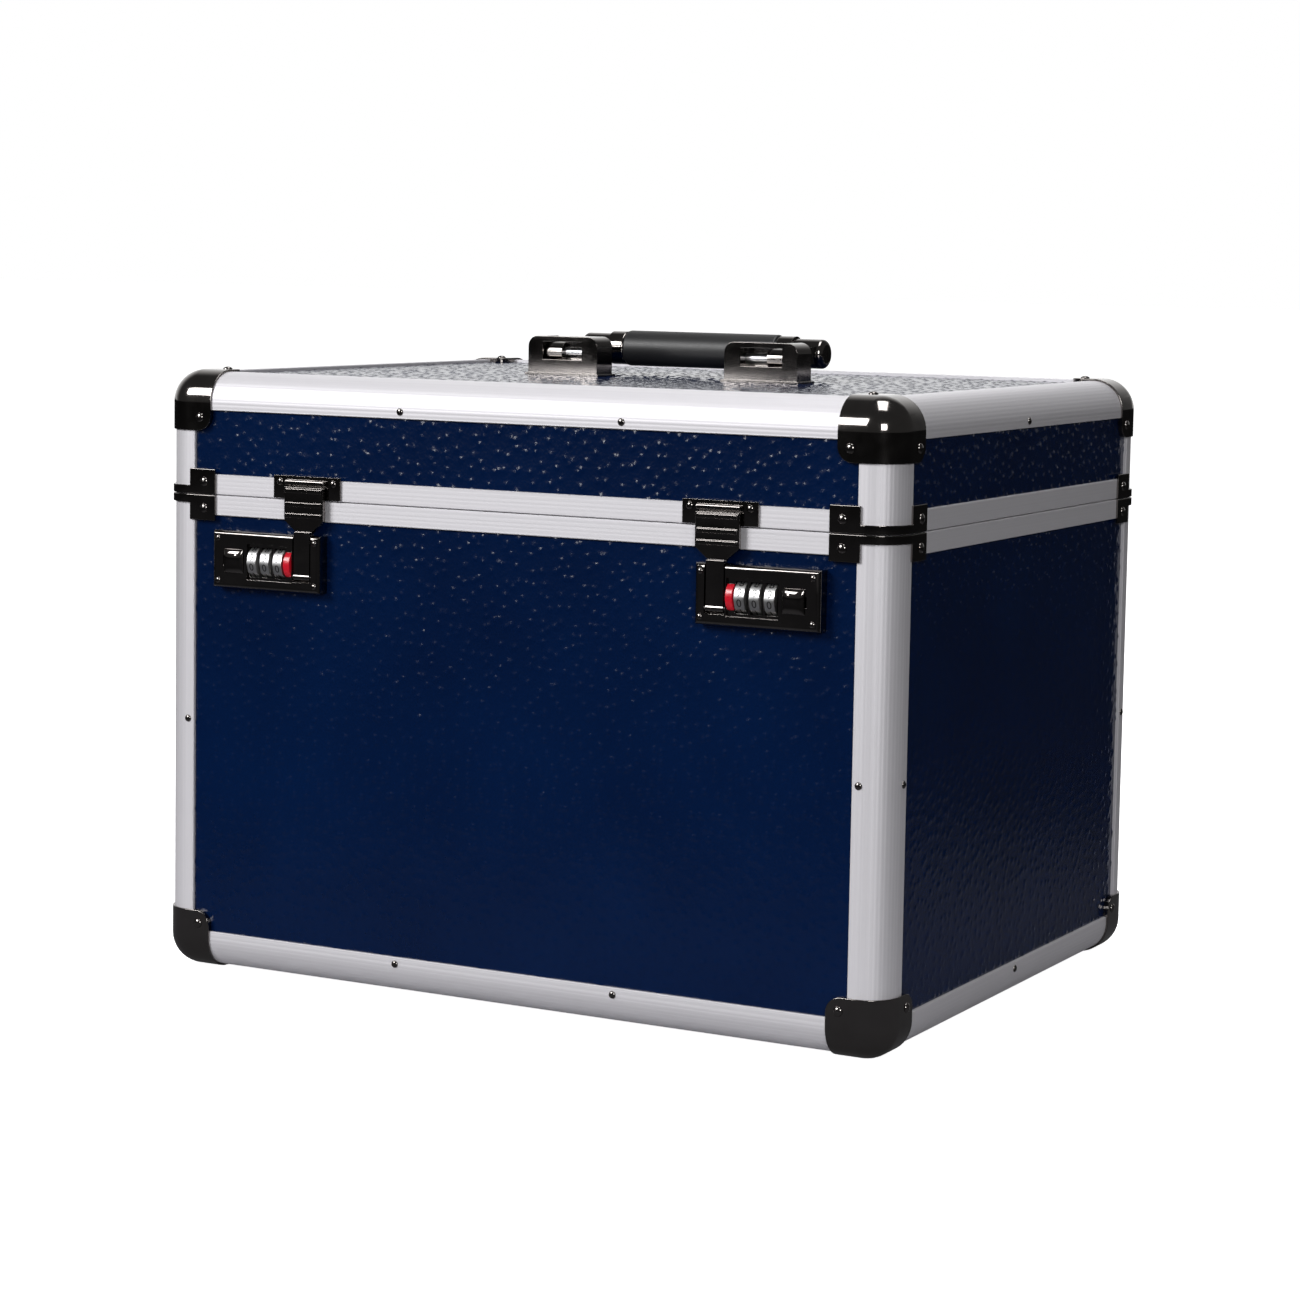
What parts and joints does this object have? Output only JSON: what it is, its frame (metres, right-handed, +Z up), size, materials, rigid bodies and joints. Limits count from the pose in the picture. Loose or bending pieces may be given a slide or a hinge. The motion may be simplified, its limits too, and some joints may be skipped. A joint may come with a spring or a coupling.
{
  "type": "sewing box with trays",
  "caption": "Hard-sided carry case with metal edge profiles, hinged lid, combination latches, folding top handle and compartment trays that rise as the lid opens.",
  "frame": {"origin": "on the floor under the middle of the case", "axes": "+X to the case's right as seen from the latch side, -Y out of the latch side, +Y towards the hinges, +Z up"},
  "size_m": [0.3746, 0.3022, 0.2978],
  "materials": {
    "navy_panel": "semi-gloss navy laminate with a hammered emboss",
    "lining": "black felt on board",
    "aluminium": "satin anodised, fine lines along the profile",
    "chrome": "polished, slightly dark",
    "steel": "plated, semi-polished",
    "lock_plastic": "black moulded",
    "dial_metal": "satin plated with dark figures",
    "red_plastic": "glossy red",
    "grip": "soft satin black",
    "tray_plastic": "fine grained black"
  },
  "bodies": {
    "body": {"front_panel": "navy_panel", "rear_panel": "navy_panel", "left_panel": "navy_panel", "right_panel": "navy_panel", "bottom_panel": "navy_panel", "body_lining": "lining", "corner_posts": "aluminium", "bottom_rails": "aluminium", "body_rim_rails": "aluminium", "bottom_corner_caps": "chrome", "body_parting_brackets": "chrome", "lock_plate_left": "chrome", "lock_plate_right": "chrome", "body_rivets": "steel", "dial_axles": "steel", "hasp_pins": "steel", "hinge_pins": "steel", "link_plates": "steel", "link_pivots": "steel", "body_hinge_leaves": "steel", "lock_housings": "lock_plastic", "lock_markers": "red_plastic"},
    "lid": {"lid_front_panel": "navy_panel", "lid_rear_panel": "navy_panel", "lid_left_panel": "navy_panel", "lid_right_panel": "navy_panel", "lid_top_panel": "navy_panel", "lid_lining": "lining", "lid_posts": "aluminium", "lid_top_rails": "aluminium", "lid_rim_rails": "aluminium", "top_corner_caps": "chrome", "lid_parting_brackets": "chrome", "lid_rivets": "steel", "keeper_left": "chrome", "keeper_right": "chrome", "lid_hinge_leaves": "steel", "lid_arms": "steel", "handle_mounts": "chrome", "handle_pins": "steel"},
    "handle": {"handle_arms": "chrome", "handle_grip": "grip"},
    "hasp_left": {"hasp_left": "chrome"},
    "hasp_right": {"hasp_right": "chrome"},
    "button_left": {"button_left": "chrome"},
    "button_right": {"button_right": "chrome"},
    "front_links": {"front_links": "steel"},
    "rear_links": {"rear_links": "steel"},
    "upper_tray": {"upper_tray": "tray_plastic", "upper_tray_studs": "steel", "upper_tray_dividers": "tray_plastic"},
    "lower_tray": {"lower_tray": "tray_plastic", "lower_tray_studs": "steel", "lower_tray_dividers": "tray_plastic"},
    "dial_left_1": {"dial_left_1": "dial_metal"},
    "dial_left_2": {"dial_left_2": "dial_metal"},
    "dial_left_3": {"dial_left_3": "dial_metal"},
    "dial_right_1": {"dial_right_1": "dial_metal"},
    "dial_right_2": {"dial_right_2": "dial_metal"},
    "dial_right_3": {"dial_right_3": "dial_metal"}
  },
  "joints": [
    {"name": "lid_hinge", "type": "hinge", "parent": "body", "child": "lid", "pos_m": [0, 0.14775, 0.222], "axis": [-1, 0, 0], "range_deg": [0, 100]},
    {"name": "handle_pivot", "type": "hinge", "parent": "lid", "child": "handle", "pos_m": [0, 0.002, 0.2874], "axis": [1, 0, 0], "range_deg": [0, 90]},
    {"name": "front_link_pivot", "type": "hinge", "parent": "body", "child": "front_links", "pos_m": [0, -0.008, 0.185], "axis": [-1, 0, 0], "range_deg": [0, 100]},
    {"name": "rear_link_pivot", "type": "hinge", "parent": "body", "child": "rear_links", "pos_m": [0, 0.108, 0.185], "axis": [-1, 0, 0], "range_deg": [0, 100]},
    {"name": "upper_tray_pivot", "type": "hinge", "parent": "rear_links", "child": "upper_tray", "pos_m": [0, 0.013, 0.185], "axis": [-1, 0, 0], "range_deg": [-100, 0]},
    {"name": "lower_tray_pivot", "type": "hinge", "parent": "rear_links", "child": "lower_tray", "pos_m": [0, 0.0605, 0.185], "axis": [-1, 0, 0], "range_deg": [-100, 0]},
    {"name": "hasp_left_pivot", "type": "hinge", "parent": "body", "child": "hasp_left", "pos_m": [-0.1047, -0.1474, 0.1875], "axis": [1, 0, 0], "range_deg": [0, 105]},
    {"name": "button_left_slide", "type": "slide", "parent": "body", "child": "button_left", "axis": [-1, 0, 0], "range_m": [0, 0.0036], "stiffness_N_per_m": 250},
    {"name": "dial_left_1_spin", "type": "hinge", "parent": "body", "child": "dial_left_1", "pos_m": [-0.117, -0.1434, 0.1927], "axis": [1, 0, 0], "continuous": true},
    {"name": "dial_left_2_spin", "type": "hinge", "parent": "body", "child": "dial_left_2", "pos_m": [-0.12405, -0.1434, 0.1927], "axis": [1, 0, 0], "continuous": true},
    {"name": "dial_left_3_spin", "type": "hinge", "parent": "body", "child": "dial_left_3", "pos_m": [-0.1311, -0.1434, 0.1927], "axis": [1, 0, 0], "continuous": true},
    {"name": "hasp_right_pivot", "type": "hinge", "parent": "body", "child": "hasp_right", "pos_m": [0.1047, -0.1474, 0.1875], "axis": [1, 0, 0], "range_deg": [0, 105]},
    {"name": "button_right_slide", "type": "slide", "parent": "body", "child": "button_right", "axis": [1, 0, 0], "range_m": [0, 0.0036], "stiffness_N_per_m": 250},
    {"name": "dial_right_1_spin", "type": "hinge", "parent": "body", "child": "dial_right_1", "pos_m": [0.117, -0.1434, 0.1927], "axis": [1, 0, 0], "continuous": true},
    {"name": "dial_right_2_spin", "type": "hinge", "parent": "body", "child": "dial_right_2", "pos_m": [0.12405, -0.1434, 0.1927], "axis": [1, 0, 0], "continuous": true},
    {"name": "dial_right_3_spin", "type": "hinge", "parent": "body", "child": "dial_right_3", "pos_m": [0.1311, -0.1434, 0.1927], "axis": [1, 0, 0], "continuous": true}
  ],
  "couplings": [
    {"joint": "front_link_pivot", "follows": "lid_hinge", "ratio": 1},
    {"joint": "rear_link_pivot", "follows": "lid_hinge", "ratio": 1},
    {"joint": "upper_tray_pivot", "follows": "lid_hinge", "ratio": -1},
    {"joint": "lower_tray_pivot", "follows": "lid_hinge", "ratio": -1}
  ]
}
